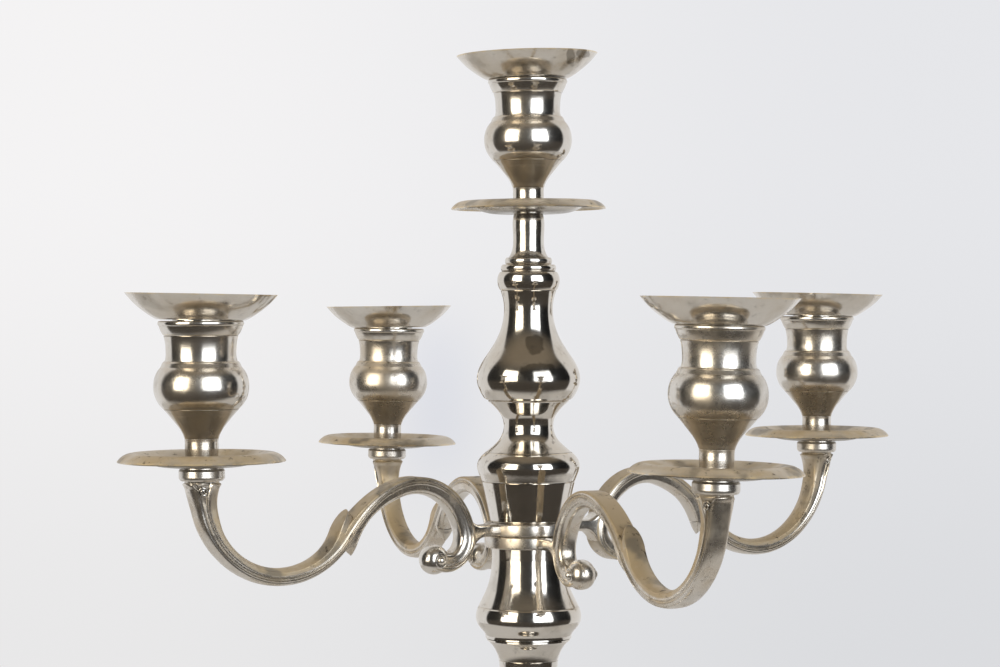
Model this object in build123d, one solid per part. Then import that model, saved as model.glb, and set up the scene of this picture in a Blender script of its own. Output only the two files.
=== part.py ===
"""Five-light table candelabrum in nickel-plated cast metal, millimetres, +Z up.

The origin is the centre of the base's underside. A turned column is stacked on a steel tie rod.
Two ring castings, each with a pair of opposite scrolled arms, turn on a hub between the two spools.
Every arm and the column's stem carry the same head: a drip pan, a candle cup and a loose wax dish.
"""
from build123d import *
import os
from math import cos, radians, sin

# ---- driving dimensions -------------------------------------------------------------------------
ARM_REACH = 190.0  # column axis to candle axis, before trimming
UPPER_PAIR_ANGLE = 36.25  # degrees from +X to the upper ring's rear arm
LOWER_PAIR_ANGLE = 114.35  # degrees from +X to the lower ring's rear arm

FELT_THICKNESS = 2.0
BASE_RADIUS = 110.4
BASE_HEIGHT = 90.0
LOWER_SHAFT_HEIGHT = 158.0
KNOP_HEIGHT = 68.0
UPPER_SHAFT_HEIGHT = 170.7
LOWER_SPOOL_HEIGHT = 45.7
RING_HEIGHT = 6.2
RING_PLAY = 0.1  # gap under, between and over the two rings
UPPER_SPOOL_HEIGHT = 61.2
PEAR_HEIGHT = 67.3
STEM_HEIGHT = 25.3

HUB_RADIUS = 12.0  # spigot on which both rings turn
HUB_CLEARANCE = 0.08
RING_RADIUS = 22.0

ROD_RADIUS = 4.0  # M8 tie rod
ROD_HOLE_RADIUS = 4.4
THREAD_CLEARANCE = 0.05
REGISTER_RADIUS = 8.0  # spigot that centres one column piece on the next
REGISTER_HEIGHT = 2.0
REGISTER_CLEARANCE = 0.1

STUD_RADIUS = 3.0  # M6 stud through each arm's collar, pan and cup
STUD_HOLE_RADIUS = 3.2
STUD_DOWN = 10.0  # below the collar, or below the pan on the stem
STUD_UP = 12.0  # above the pan's floor

# ---- one candle head, measured up from the pan's seat -------------------------------------------
PAN_RADIUS = 38.65
PAN_FLOOR = 1.5
COLLAR_HEIGHT = 6.3
COLLAR_RADIUS = 10.6
LIP_HEIGHT = 67.1  # cup lip above the pan's seat
LIP_RADIUS = 19.2
CUP_BORE_RADIUS = 13.8
CUP_BORE_DEPTH = 23.0
DISH_RIM_HEIGHT = 79.1
DISH_RIM_RADIUS = 35.2
DISH_FLOOR_HEIGHT = 68.7
SPIGOT_RADIUS = 13.0
SPIGOT_LENGTH = 20.6
CANDLE_RADIUS = 11.5
CANDLE_BORE_LENGTH = 20.7
DISH_SEAT_GAP = 0.02

# The arms are bent and finished by hand, so each one's reach and height are off by a little.
REACH_TRIM = {"left_front": -2.5, "right_back": 5.5, "right_front": 3.5, "left_back": -1.0}
HEIGHT_TRIM = {"left_front": -1.2, "right_back": -0.1, "right_front": 3.7, "left_back": -0.8}
WEB_TRIM = {"left_front": 0.0, "right_back": 4.0, "right_front": 2.0, "left_back": 0.0}
ARM_TILT = {"left_front": 0.2, "right_back": 0.0, "right_front": 1.1, "left_back": 0.0}  # degrees up

# Each head, and the loose dish in it, leans a little to one side: degrees about +Y, where a
# positive lean lowers the +X side.
HEAD_LEAN = {"top": -0.4, "left_front": -0.3, "right_back": 0.1, "right_front": 1.3, "left_back": 1.0}
DISH_LEAN = {"top": -1.5, "left_front": 1.0, "right_back": 1.3, "right_front": 1.1, "left_back": -0.6}

# ---- arm, measured in its own upright plane -----------------------------------------------------
ARM_WIDTH = 10.0
ARM_THICKNESS = 8.4
ARM_EDGE_RADIUS = 2.9
CAPITAL_RADIUS = 9.1
CAPITAL_HEIGHT = 11.0
CAPITAL_FOOT_WIDTH = 10.6
CAPITAL_FOOT_THICKNESS = 10.4
BOWL_RADIUS = 43.9
BOWL_TURN = 143.0
DROP_LENGTH = 5.1
FLANK_RADIUS = 61.0
FLANK_TURN = 38.5
CROWN_RADIUS = 30.3
CROWN_TURN = 92.5
CURL_RADIUS = 11.8
CURL_TURN = 131.5
BALL_RADIUS = 7.2
BUTTON_RADIUS = 2.5
BUTTON_OFFSET = 6.6
ARM_TOP_ABOVE_RING = 32.05  # arm's top face above the middle of its ring
CHANNEL_WIDTH = 2.4
CHANNEL_DEPTH = 0.5
WEB_WIDTH = 9.0
WEB_FLARE = 10.0
TONGUE_WIDTH = 8.5
# Two leaf points mark where the bowl and the flank pass each other. Each is a triangle of tail, tip
# and root, given along and across the path from the end of the bowl.
UPPER_TONGUE = ((-10.0, 3.4), (10.8, 6.1), (9.4, 1.5))
LOWER_TONGUE = ((15.0, -5.3), (-2.9, -9.5), (-1.2, -2.5))

# ---- levels -------------------------------------------------------------------------------------
BASE_Z = FELT_THICKNESS
LOWER_SHAFT_Z = BASE_Z + BASE_HEIGHT
KNOP_Z = LOWER_SHAFT_Z + LOWER_SHAFT_HEIGHT
UPPER_SHAFT_Z = KNOP_Z + KNOP_HEIGHT
LOWER_SPOOL_Z = UPPER_SHAFT_Z + UPPER_SHAFT_HEIGHT
SHOULDER_Z = LOWER_SPOOL_Z + LOWER_SPOOL_HEIGHT
LOWER_RING_Z = SHOULDER_Z + RING_PLAY
UPPER_RING_Z = LOWER_RING_Z + RING_HEIGHT + RING_PLAY
UPPER_SPOOL_Z = UPPER_RING_Z + RING_HEIGHT + RING_PLAY
PEAR_Z = UPPER_SPOOL_Z + UPPER_SPOOL_HEIGHT
STEM_Z = PEAR_Z + PEAR_HEIGHT
TOP_SEAT_Z = STEM_Z + STEM_HEIGHT
HUB_HEIGHT = UPPER_SPOOL_Z - SHOULDER_Z
ROD_BOTTOM_Z = BASE_Z + 62.0
ROD_TOP_Z = STEM_Z + 14.0
BASE_ROOF = 74.0  # inside roof of the hollow base, above its rim
WASHER_RADIUS = 14.0
WASHER_THICKNESS = 2.0
NUT_ACROSS_FLATS = 13.0
NUT_HEIGHT = 6.5

ARM_ANGLES = {
    "right_back": UPPER_PAIR_ANGLE,
    "left_front": UPPER_PAIR_ANGLE + 180,
    "left_back": LOWER_PAIR_ANGLE,
    "right_front": LOWER_PAIR_ANGLE + 180,
}


def save(node, shape):
    """Write one node's STEP file."""
    shape.label = node
    export_step(shape, f"parts/{node}.step")


# ---- turning ------------------------------------------------------------------------------------
def lathe(start, *stretches):
    """Turn an outline about Z. A stretch of one point is straight; a longer one is a smooth curve."""
    edges = []
    here = start
    for stretch in stretches:
        points = [here, *stretch]
        edges.append(Line(*points) if len(points) == 2 else Spline(*points))
        here = stretch[-1]
    edges.append(Line(here, start))
    return revolve(Plane.XZ * make_face(edges), Axis.Z)


def rod(radius, bottom, top):
    """A plain round bar on the Z axis."""
    return Pos(0, 0, bottom) * Cylinder(radius, top - bottom, align=(Align.CENTER, Align.CENTER, Align.MIN))


def turned_line(radius, height, depth=0.3, half_width=0.35):
    """A fine V cut that the lathe tool leaves round a piece."""
    return lathe(
        (radius + depth, height - 2 * half_width),
        ((radius + depth, height + 2 * half_width),),
        ((radius - depth, height),),
    )


def bored(piece, height, register_below=True, register_above=True):
    """Bore a column piece for the tie rod and give it its centring recess and spigot."""
    if register_above:
        piece += rod(REGISTER_RADIUS, height - 1, height + REGISTER_HEIGHT)
    if register_below:
        recess = REGISTER_RADIUS + REGISTER_CLEARANCE
        piece -= rod(recess, -1, REGISTER_HEIGHT + REGISTER_CLEARANCE)
    return piece - rod(ROD_HOLE_RADIUS, -1, height + REGISTER_HEIGHT + 1)


# ---- column -------------------------------------------------------------------------------------
def make_base():
    """Hollow cast base: beaded rim, coved skirt, step and bell-shaped dome."""
    shell = lathe(
        (0, 0),
        ((BASE_RADIUS - 1.4, 0),),
        ((BASE_RADIUS, 1.8), (BASE_RADIUS, 5.0), (BASE_RADIUS - 1.8, 7.2)),
        ((BASE_RADIUS - 5.4, 8.0),),
        ((97, 10.2), (80, 16.4), (63, 26.0), (54, 36.0)),
        ((54, 38.4),),
        ((50, 39.6),),
        ((48.6, 42.6), (41, 54), (33, 65), (28.2, 77), (26.6, 84)),
        ((28.6, 85),),
        ((29.4, 86.4), (29.4, 88.4), (28.4, 89.8)),
        ((27.8, BASE_HEIGHT),),
        ((0, BASE_HEIGHT),),
    )
    hollow = lathe(
        (0, -1),
        ((101, -1),),
        ((101, 3.5),),
        ((92, 7.4), (76, 13.2), (59, 22.4), (48.5, 34)),
        ((43, 41), (35, 53), (27, 64), (21, BASE_ROOF)),
        ((0, BASE_ROOF),),
    )
    hole = rod(ROD_HOLE_RADIUS, BASE_ROOF - 1, BASE_HEIGHT + REGISTER_HEIGHT + 1)
    spigot = rod(REGISTER_RADIUS, BASE_HEIGHT - 1, BASE_HEIGHT + REGISTER_HEIGHT)
    return Pos(0, 0, BASE_Z) * (shell - hollow + spigot - hole)


def make_lower_shaft():
    """Tapered shaft that rises from the base."""
    shaft = lathe(
        (0, 0),
        ((24.6, 0),),
        ((25.8, 1.4), (25.8, 4.6), (24.4, 6.2)),
        ((21.4, 7.0),),
        ((19.4, 14), (18.0, 34), (16.2, 90), (15.3, 138), (16.0, 149), (18.2, 154.4)),
        ((18.2, LOWER_SHAFT_HEIGHT),),
        ((0, LOWER_SHAFT_HEIGHT),),
    )
    shaft -= turned_line(15.45, 143)
    return Pos(0, 0, LOWER_SHAFT_Z) * bored(shaft, LOWER_SHAFT_HEIGHT)


def make_knop():
    """Swelling between the two shafts."""
    knop = lathe(
        (0, 0),
        ((19.0, 0),),
        ((19.6, 1.2), (19.0, 3.0)),
        ((17.2, 4.2), (14.6, 8.4), (14.0, 12.5), (15.4, 17.6), (20.4, 22.6)),
        ((22.4, 23.6),),
        ((26.6, 29), (28.2, 35), (26.8, 41), (23.2, 46.4)),
        ((19.4, 51), (16.6, 57), (16.8, 62), (19.4, 66.8)),
        ((19.4, KNOP_HEIGHT),),
        ((0, KNOP_HEIGHT),),
    )
    knop -= turned_line(23.2, 46.4)
    return Pos(0, 0, KNOP_Z) * bored(knop, KNOP_HEIGHT)


def make_upper_shaft():
    """Long shaft under the arms, flaring to meet the lower spool."""
    shaft = lathe(
        (0, 0),
        ((20.4, 0),),
        ((21.4, 1.3), (21.4, 4.1), (20.2, 5.4)),
        ((18.0, 6.2),),
        ((16.9, 12), (16.2, 40), (15.2, 110), (14.6, 152), (15.0, 160.2), (17.2, 166.0), (20.9, 169.9)),
        ((20.9, UPPER_SHAFT_HEIGHT),),
        ((0, UPPER_SHAFT_HEIGHT),),
    )
    shaft -= turned_line(15.0, 159.9)
    return Pos(0, 0, UPPER_SHAFT_Z) * bored(shaft, UPPER_SHAFT_HEIGHT)


def make_lower_spool():
    """Spool under the arms, with the hub on which both rings turn."""
    spool = lathe(
        (0, 0),
        ((20.4, 0),),
        ((21.6, 0.5),),
        ((21.9, 2.6), (24.3, 5.6), (26.2, 9.0), (26.3, 12.6), (25.15, 16.2)),
        ((23.0, 20.4), (20.5, 26.2), (18.8, 34.0), (18.4, 40.0)),
        ((18.5, LOWER_SPOOL_HEIGHT),),
        ((HUB_RADIUS, LOWER_SPOOL_HEIGHT),),
        ((HUB_RADIUS, LOWER_SPOOL_HEIGHT + HUB_HEIGHT),),
        ((0, LOWER_SPOOL_HEIGHT + HUB_HEIGHT),),
    )
    spool -= turned_line(25.15, 16.2)
    return Pos(0, 0, LOWER_SPOOL_Z) * bored(spool, LOWER_SPOOL_HEIGHT + HUB_HEIGHT)


def make_upper_spool():
    """Spool over the arms: flared skirt, bulge and narrow neck."""
    spool = lathe(
        (0, 0),
        ((18.6, 0),),
        ((19.1, 0.6),),
        ((21.2, 10.8), (23.4, 20.2)),
        ((25.2, 24.9), (25.8, 27.8), (25.2, 30.4), (21.5, 34.8)),
        ((17.95, 37.8), (14.25, 41.8), (12.45, 47.2), (13.2, 52.0), (15.7, 55.8), (20.0, 60.0)),
        ((20.3, 60.4),),
        ((19.8, UPPER_SPOOL_HEIGHT),),
        ((0, UPPER_SPOOL_HEIGHT),),
    )
    spool -= turned_line(23.4, 20.2)
    spool -= turned_line(21.5, 34.8, depth=0.2)
    return Pos(0, 0, UPPER_SPOOL_Z) * bored(spool, UPPER_SPOOL_HEIGHT)


def make_pear():
    """Pear-shaped baluster with a small bulge and a ring at its top."""
    pear = lathe(
        (0, 0),
        ((21.6, 0),),
        ((22.4, 0.8),),
        (
            (24.6, 4.6), (25.9, 10.4), (24.3, 16.6), (19.25, 24.6),
            (14.8, 32.6), (12.5, 41.0), (12.5, 48.6), (14.1, 54.3),
        ),
        ((15.3, 57.0), (15.6, 60.4), (14.4, 63.5)),
        ((13.2, 63.9),),
        ((13.8, 64.9), (13.8, 66.1), (13.3, 67.0)),
        ((13.0, PEAR_HEIGHT),),
        ((0, PEAR_HEIGHT),),
    )
    pear -= turned_line(14.1, 54.3)
    return Pos(0, 0, PEAR_Z) * bored(pear, PEAR_HEIGHT)


def make_stem():
    """Tapered stem on the pear, tapped for the tie rod below and for the top cup's stud above."""
    stem = lathe(
        (0, 0),
        ((11.2, 0),),
        ((11.7, 0.9), (11.7, 2.5), (11.2, 3.4)),
        ((9.9, 3.7),),
        ((8.95, 5.3), (7.8, 15), (7.05, STEM_HEIGHT + 0.5)),
        ((0, STEM_HEIGHT + 0.5),),
    )
    stem -= rod(REGISTER_RADIUS + REGISTER_CLEARANCE, -1, REGISTER_HEIGHT + REGISTER_CLEARANCE)
    stem -= rod(ROD_RADIUS + THREAD_CLEARANCE, -1, ROD_TOP_Z - STEM_Z + 0.5)
    stem = Pos(0, 0, STEM_Z) * stem
    return stem - seat("top") * seat_cutter()


def make_rod():
    """Steel tie rod with chamfered ends."""
    bar = rod(ROD_RADIUS, ROD_BOTTOM_Z, ROD_TOP_Z)
    return chamfer(bar.edges().filter_by(GeomType.CIRCLE), 0.8)


def make_washer():
    """Washer under the base's roof."""
    top = BASE_Z + BASE_ROOF
    return rod(WASHER_RADIUS, top - WASHER_THICKNESS, top) - rod(ROD_HOLE_RADIUS, top - 5, top + 5)


def make_nut():
    """Hexagon nut that draws the whole column together."""
    top = BASE_Z + BASE_ROOF - WASHER_THICKNESS
    hexagon = RegularPolygon(NUT_ACROSS_FLATS / 2, 6, major_radius=False)
    nut = Pos(0, 0, top - NUT_HEIGHT) * extrude(hexagon, NUT_HEIGHT)
    return nut - rod(ROD_RADIUS + THREAD_CLEARANCE, top - NUT_HEIGHT - 1, top + 1)


# ---- heads --------------------------------------------------------------------------------------
def seat(place):
    """Where a head's pan sits, leaning with the head."""
    if place == "top":
        return Pos(0, 0, TOP_SEAT_Z) * Rot(0, HEAD_LEAN[place], 0)
    reach, rise = arm_top(place)
    angle = radians(ARM_ANGLES[place])
    height = ring_middle(place) + rise + COLLAR_HEIGHT
    return Pos(reach * cos(angle), reach * sin(angle), height) * Rot(0, HEAD_LEAN[place], 0)


def seat_cutter(below=0.0):
    """Trims what is above a seat and drills it for the stud."""
    half = 20
    block = Pos(0, 0, half - below) * Box(2 * half, 2 * half, 2 * half)
    return block + rod(STUD_RADIUS + THREAD_CLEARANCE, -below - STUD_DOWN - 0.5, half)


def make_collar():
    """Turned collar between an arm's capital and the pan."""
    ring = lathe(
        (STUD_HOLE_RADIUS, -COLLAR_HEIGHT),
        ((COLLAR_RADIUS - 1.0, -COLLAR_HEIGHT),),
        ((COLLAR_RADIUS - 0.2, -5.4), (COLLAR_RADIUS, -4.0)),
        ((COLLAR_RADIUS, -1.8),),
        ((COLLAR_RADIUS - 0.4, -1.0),),
        ((COLLAR_RADIUS - 1.2, -0.8),),
        ((COLLAR_RADIUS - 1.2, 0),),
        ((STUD_HOLE_RADIUS, 0),),
    )
    return ring


def make_pan():
    """Drip pan: shallow bowl, rounded crest and a rim that turns down."""
    return lathe(
        (STUD_HOLE_RADIUS, 0),
        ((14, 0),),
        ((20, 0.5), (24.5, 1.9), (27.4, 3.7)),
        ((30.5, 5.1), (34, 4.9), (PAN_RADIUS - 0.1, 2.4)),
        ((PAN_RADIUS, 2.8),),
        ((36.0, 5.4), (32.2, 6.6), (28.5, 5.6), (24.0, 3.2), (19.5, 1.9), (14, PAN_FLOOR)),
        ((STUD_HOLE_RADIUS, PAN_FLOOR),),
    )


def make_cup():
    """Candle cup: slender foot, bulb, waist and flared lip, bored for the wax dish's spigot."""
    cup = lathe(
        (0, PAN_FLOOR),
        ((9.2, PAN_FLOOR),),
        ((9.2, 2.4),),
        ((8.0, 3.4), (7.75, 8.0), (7.75, 12.0), (8.6, 15.0), (11.8, 20.0), (15.1, 24.0)),
        ((17.4, 26.6),),
        ((20.15, 30.0), (21.6, 33.6), (21.95, 37.0), (21.4, 41.0), (18.7, 45.8)),
        ((18.3, 46.6), (17.6, 48.0), (16.7, 48.6)),
        ((16.3, 50.0), (16.2, 54.0), (16.6, 58.0), (17.2, 60.3)),
        ((18.3, 62.2), (19.3, 64.8)),
        ((19.75, 65.4), (19.75, 66.4), (LIP_RADIUS, LIP_HEIGHT)),
        ((0, LIP_HEIGHT),),
    )
    cup -= turned_line(17.4, 26.6)
    cup -= turned_line(17.2, 60.3)
    cup -= turned_line(7.95, 13.0, depth=0.15)
    cup -= rod(CUP_BORE_RADIUS, LIP_HEIGHT - CUP_BORE_DEPTH, LIP_HEIGHT + 1)
    return cup - rod(STUD_RADIUS + THREAD_CLEARANCE, 0, PAN_FLOOR + STUD_UP + 0.5)


def make_dish():
    """Loose wax dish: flared rim, flat floor and the spigot that holds the candle."""
    spigot_bottom = LIP_HEIGHT - SPIGOT_LENGTH
    candle_bottom = DISH_FLOOR_HEIGHT - CANDLE_BORE_LENGTH
    return lathe(
        (0, spigot_bottom),
        ((SPIGOT_RADIUS - 0.6, spigot_bottom),),
        ((SPIGOT_RADIUS, spigot_bottom + 0.6),),
        ((SPIGOT_RADIUS, LIP_HEIGHT),),
        ((20.4, LIP_HEIGHT),),
        ((22.3, 68.0), (25.4, 70.0), (30.55, 74.0), (32.9, 76.4), (DISH_RIM_RADIUS, DISH_RIM_HEIGHT)),
        ((DISH_RIM_RADIUS - 0.7, DISH_RIM_HEIGHT),),
        ((32.1, 77.2), (29.8, 74.9), (24.6, 70.9), (21.0, 69.2), (19.0, DISH_FLOOR_HEIGHT)),
        ((CANDLE_RADIUS, DISH_FLOOR_HEIGHT),),
        ((CANDLE_RADIUS, candle_bottom),),
        ((0, candle_bottom),),
    )


def dish_place(place):
    """The dish sits on the lip and leans in the cup's wide bore, touching the lip on one side."""
    lean = DISH_LEAN[place] - HEAD_LEAN[place]
    lift = LIP_RADIUS * sin(radians(abs(lean))) + DISH_SEAT_GAP
    return seat(place) * Pos(0, 0, LIP_HEIGHT + lift) * Rot(0, lean, 0) * Pos(0, 0, -LIP_HEIGHT)


# ---- arms ---------------------------------------------------------------------------------------
def ring_middle(place):
    """Mid-height of the ring that carries an arm."""
    ring_z = UPPER_RING_Z if place in ("left_front", "right_back") else LOWER_RING_Z
    return ring_z + RING_HEIGHT / 2


def arm_top(place):
    """Reach and height of an arm's end, measured from the middle of its ring."""
    return ARM_REACH + REACH_TRIM[place], ARM_TOP_ABOVE_RING + HEIGHT_TRIM[place]


def arm_path(place):
    """Centreline of one arm from its capital to its ball; x is the reach, y the height.

    The web's trim shifts the curl; the bowl and the drop take up what is left of the other trims
    once the arm is tilted about the middle of its ring.
    """
    reach, rise = arm_top(place)
    tilt = radians(ARM_TILT[place])
    level_reach = reach * cos(tilt) + rise * sin(tilt)
    level_rise = rise * cos(tilt) - reach * sin(tilt)
    turn = radians(BOWL_TURN)
    wider = (level_reach - ARM_REACH - WEB_TRIM[place]) / (1 - cos(turn))
    drop_length = DROP_LENGTH + level_rise - ARM_TOP_ABOVE_RING - wider * sin(turn)
    drop_end = (reach + drop_length * sin(tilt), rise - drop_length * cos(tilt))
    drop = Line((reach, rise), drop_end)
    bowl = JernArc(drop @ 1, drop % 1, BOWL_RADIUS + wider, -BOWL_TURN)
    flank = JernArc(bowl @ 1, bowl % 1, FLANK_RADIUS, FLANK_TURN)
    crown = JernArc(flank @ 1, flank % 1, CROWN_RADIUS, CROWN_TURN)
    curl = JernArc(crown @ 1, crown % 1, CURL_RADIUS, CURL_TURN)
    return [drop, bowl, flank, crown, curl]


def upright(shape):
    """Stand a flat drawing in the arm's plane."""
    return Plane.XZ * shape


def slab(outline, width):
    """Extrude a flat outline to both sides of the arm's plane."""
    return extrude(upright(outline), width / 2, both=True)


def bar_section(width, thickness):
    """Rounded bar section, its thickness across the path and its width out of the arm's plane."""
    return RectangleRounded(thickness, width, ARM_EDGE_RADIUS)


def make_bar(edges):
    """The swept bar with a shallow channel down each side."""
    path = upright(Wire(edges))
    across = Plane(origin=path @ 0, x_dir=(1, 0, 0), z_dir=path % 0)
    channel = Rectangle(CHANNEL_WIDTH, 4 * CHANNEL_DEPTH)
    section = bar_section(ARM_WIDTH, ARM_THICKNESS)
    for side in (-1, 1):
        section -= Pos(0, side * (ARM_WIDTH / 2 + CHANNEL_DEPTH)) * channel
    return sweep(across * section, path=path)


def make_capital(edges):
    """Flared end that carries the collar, blending from round to the bar's section."""
    drop, bowl = edges[:2]
    along = (CAPITAL_HEIGHT - drop.length) / bowl.length
    foot_centre = upright(bowl) @ along
    foot_direction = upright(bowl) % along
    end = drop @ 0
    top = Plane(origin=(end.X, 0, end.Y + 1), x_dir=(1, 0, 0), z_dir=(0, 0, -1))
    foot = Plane(origin=foot_centre, x_dir=foot_direction.cross(Vector(0, 1, 0)), z_dir=foot_direction)
    head = top * RectangleRounded(2 * CAPITAL_RADIUS, 2 * CAPITAL_RADIUS, CAPITAL_RADIUS - 0.01)
    return loft([head, foot * bar_section(CAPITAL_FOOT_WIDTH, CAPITAL_FOOT_THICKNESS)])


def make_web(place):
    """Short web from the ring that flares into the arm's inner curl."""
    half = RING_HEIGHT / 2
    neck = 29.0 + WEB_TRIM[place]
    middle = 35.2 + WEB_TRIM[place]
    far = 38.4 + WEB_TRIM[place]
    low = -2.3  # the curl's innermost point is this far below the ring's middle
    upper = ThreePointArc((neck, half), (middle, half + 2.4), (far, WEB_FLARE + low))
    lower = ThreePointArc((neck, -half), (middle, -half - 3.6), (far, -WEB_FLARE + low))
    start = RING_RADIUS - 4
    outline = make_face(
        [
            Line((start, half), upper @ 0),
            upper,
            Line(upper @ 1, lower @ 1),
            lower,
            Line(lower @ 0, (start, -half)),
            Line((start, -half), (start, half)),
        ]
    )
    return slab(outline, WEB_WIDTH)


def make_tongues(edges):
    """The two leaf points where the bowl and the flank pass each other."""
    flank = edges[2]
    start = flank @ 0
    along = flank % 0
    across = Vector(along.Y, -along.X)
    tongues = []
    for triangle in (UPPER_TONGUE, LOWER_TONGUE):
        corners = [start + along * length + across * offset for length, offset in triangle]
        tongues.append(slab(make_face(Polyline(*corners, close=True)), TONGUE_WIDTH))
    return tongues


def make_arm(place):
    """One whole arm standing on its ring, trimmed to its leaning seat."""
    edges = arm_path(place)
    end = edges[-1] @ 1
    arm = make_bar(edges) + make_capital(edges) + make_web(place)
    for tongue in make_tongues(edges):
        arm += tongue
    arm += Pos(end.X, 0, end.Y) * Sphere(BALL_RADIUS)
    for side in (-1, 1):
        arm += Pos(end.X, side * BUTTON_OFFSET, end.Y) * Sphere(BUTTON_RADIUS)
    arm = Pos(0, 0, ring_middle(place)) * Rot(0, 0, ARM_ANGLES[place]) * arm
    return arm - seat(place) * seat_cutter(below=COLLAR_HEIGHT)


def make_arms(ring_z, places):
    """A ring with its two opposite arms, cast in one."""
    ring = rod(RING_RADIUS, ring_z, ring_z + RING_HEIGHT)
    ring = fillet(ring.edges().filter_by(GeomType.CIRCLE), 0.8)
    for place in places:
        ring += make_arm(place)
    return ring - rod(HUB_RADIUS + HUB_CLEARANCE, ring_z - 1, ring_z + RING_HEIGHT + 1)


# ---- the parts ----------------------------------------------------------------------------------
def main():
    """Build every node."""
    os.makedirs("parts", exist_ok=True)
    save("felt_pad", rod(BASE_RADIUS - 4, 0, FELT_THICKNESS))
    save("base", make_base())
    save("base_washer", make_washer())
    save("base_nut", make_nut())
    save("tie_rod", make_rod())
    save("lower_shaft", make_lower_shaft())
    save("knop", make_knop())
    save("upper_shaft", make_upper_shaft())
    save("lower_spool", make_lower_spool())
    save("upper_spool", make_upper_spool())
    save("pear_baluster", make_pear())
    save("top_stem", make_stem())
    save("upper_arms", make_arms(UPPER_RING_Z, ("left_front", "right_back")))
    save("lower_arms", make_arms(LOWER_RING_Z, ("right_front", "left_back")))
    for place in HEAD_LEAN:
        collar_height = 0 if place == "top" else COLLAR_HEIGHT
        stud = rod(STUD_RADIUS, -collar_height - STUD_DOWN, PAN_FLOOR + STUD_UP)
        save(f"stud_{place}", seat(place) * chamfer(stud.edges().filter_by(GeomType.CIRCLE), 0.6))
        save(f"drip_pan_{place}", seat(place) * make_pan())
        save(f"candle_cup_{place}", seat(place) * make_cup())
        save(f"wax_dish_{place}", dish_place(place) * make_dish())
        if place != "top":
            save(f"collar_{place}", seat(place) * make_collar())


main()
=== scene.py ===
"""Looks of the five-light candelabrum: worn nickel plate over cast metal, in metres, +Z up.

The turned pieces are the CAD nodes with their own finishes. The two arm castings are built here in
full detail and stand for the plain CAD ones.
"""

from math import atan2, ceil, cos, degrees, hypot, pi, radians, sin

import bpy
from mathutils import Euler, Matrix, Vector


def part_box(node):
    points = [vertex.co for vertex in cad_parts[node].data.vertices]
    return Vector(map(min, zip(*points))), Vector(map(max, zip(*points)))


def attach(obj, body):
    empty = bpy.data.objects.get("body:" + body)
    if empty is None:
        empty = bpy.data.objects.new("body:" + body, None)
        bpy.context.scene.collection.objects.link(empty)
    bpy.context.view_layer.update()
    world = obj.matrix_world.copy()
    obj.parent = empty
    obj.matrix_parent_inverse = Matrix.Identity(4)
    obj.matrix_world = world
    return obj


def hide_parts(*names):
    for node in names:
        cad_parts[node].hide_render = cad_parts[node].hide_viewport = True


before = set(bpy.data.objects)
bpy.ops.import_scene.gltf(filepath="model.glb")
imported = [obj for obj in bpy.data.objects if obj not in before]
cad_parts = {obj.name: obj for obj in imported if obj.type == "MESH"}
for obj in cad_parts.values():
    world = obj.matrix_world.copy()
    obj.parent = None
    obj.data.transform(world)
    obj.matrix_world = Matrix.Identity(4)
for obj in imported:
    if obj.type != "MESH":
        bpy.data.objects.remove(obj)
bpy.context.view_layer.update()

MM = 0.001
TAU = 2 * pi
ARM_PLACES = ("left_front", "right_back", "right_front", "left_back")
PLACES = ("top",) + ARM_PLACES

# ---- arm casting, in millimetres, in the arm's own upright plane ---------------------------------
ARM_REACH = 190.0
ARM_TOP_ABOVE_RING = 32.05
DROP_LENGTH = 5.1
BOWL_RADIUS = 43.9
BOWL_TURN = 143.0
FLANK_RADIUS = 61.0
FLANK_TURN = 38.5
CROWN_RADIUS = 30.3
CROWN_TURN = 92.5
CURL_RADIUS = 11.8
CURL_TURN = 131.5
# How much longer than the shortest each arm's web is.
WEB_TRIM = {"left_front": 0.0, "right_back": 4.0, "right_front": 2.0, "left_back": 0.0}
ARM_TILT = {"left_front": 0.2, "right_back": 0.0, "right_front": 1.1, "left_back": 0.0}  # degrees up
HALF_WIDTH = 5.05
HALF_THICKNESS = 4.2
FOOT_HALF_THICKNESS = 5.1
CAPITAL_HEIGHT = 11.0
CAPITAL_RADIUS = 9.1
NECK_RADIUS = 8.2
BALL_RADIUS = 7.3
BUTTON_RADIUS = 2.3
RING_RADIUS = 22.0
RING_BORE = 12.08
RING_HEIGHT = 6.2
RING_PLAY = 0.1
RING_EDGE = 0.9
WEB_START = 29.0  # distances from the column's axis
WEB_END = 39.2
WEB_HALF_WIDTH = 4.5
WEB_FLARE = 10.0  # half the web's height where it meets the curl
WEB_CORNER = 2.0
WEB_DROP = 2.3


def smooth(low, high, x):
    """0 below low, 1 above high, an S-curve between."""
    t = min(1.0, max(0.0, (x - low) / (high - low)))
    return t * t * (3 - 2 * t)


def blend(a, b, t):
    """a at 0, b at 1."""
    return a + (b - a) * t


# ---- meshes ---------------------------------------------------------------------------------------
TUBE_END = 0.35  # how thick a wire's ends are, as a share of its middle
CREASE_ANGLE = 38  # faces that meet at more degrees than this keep a sharp edge


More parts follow.
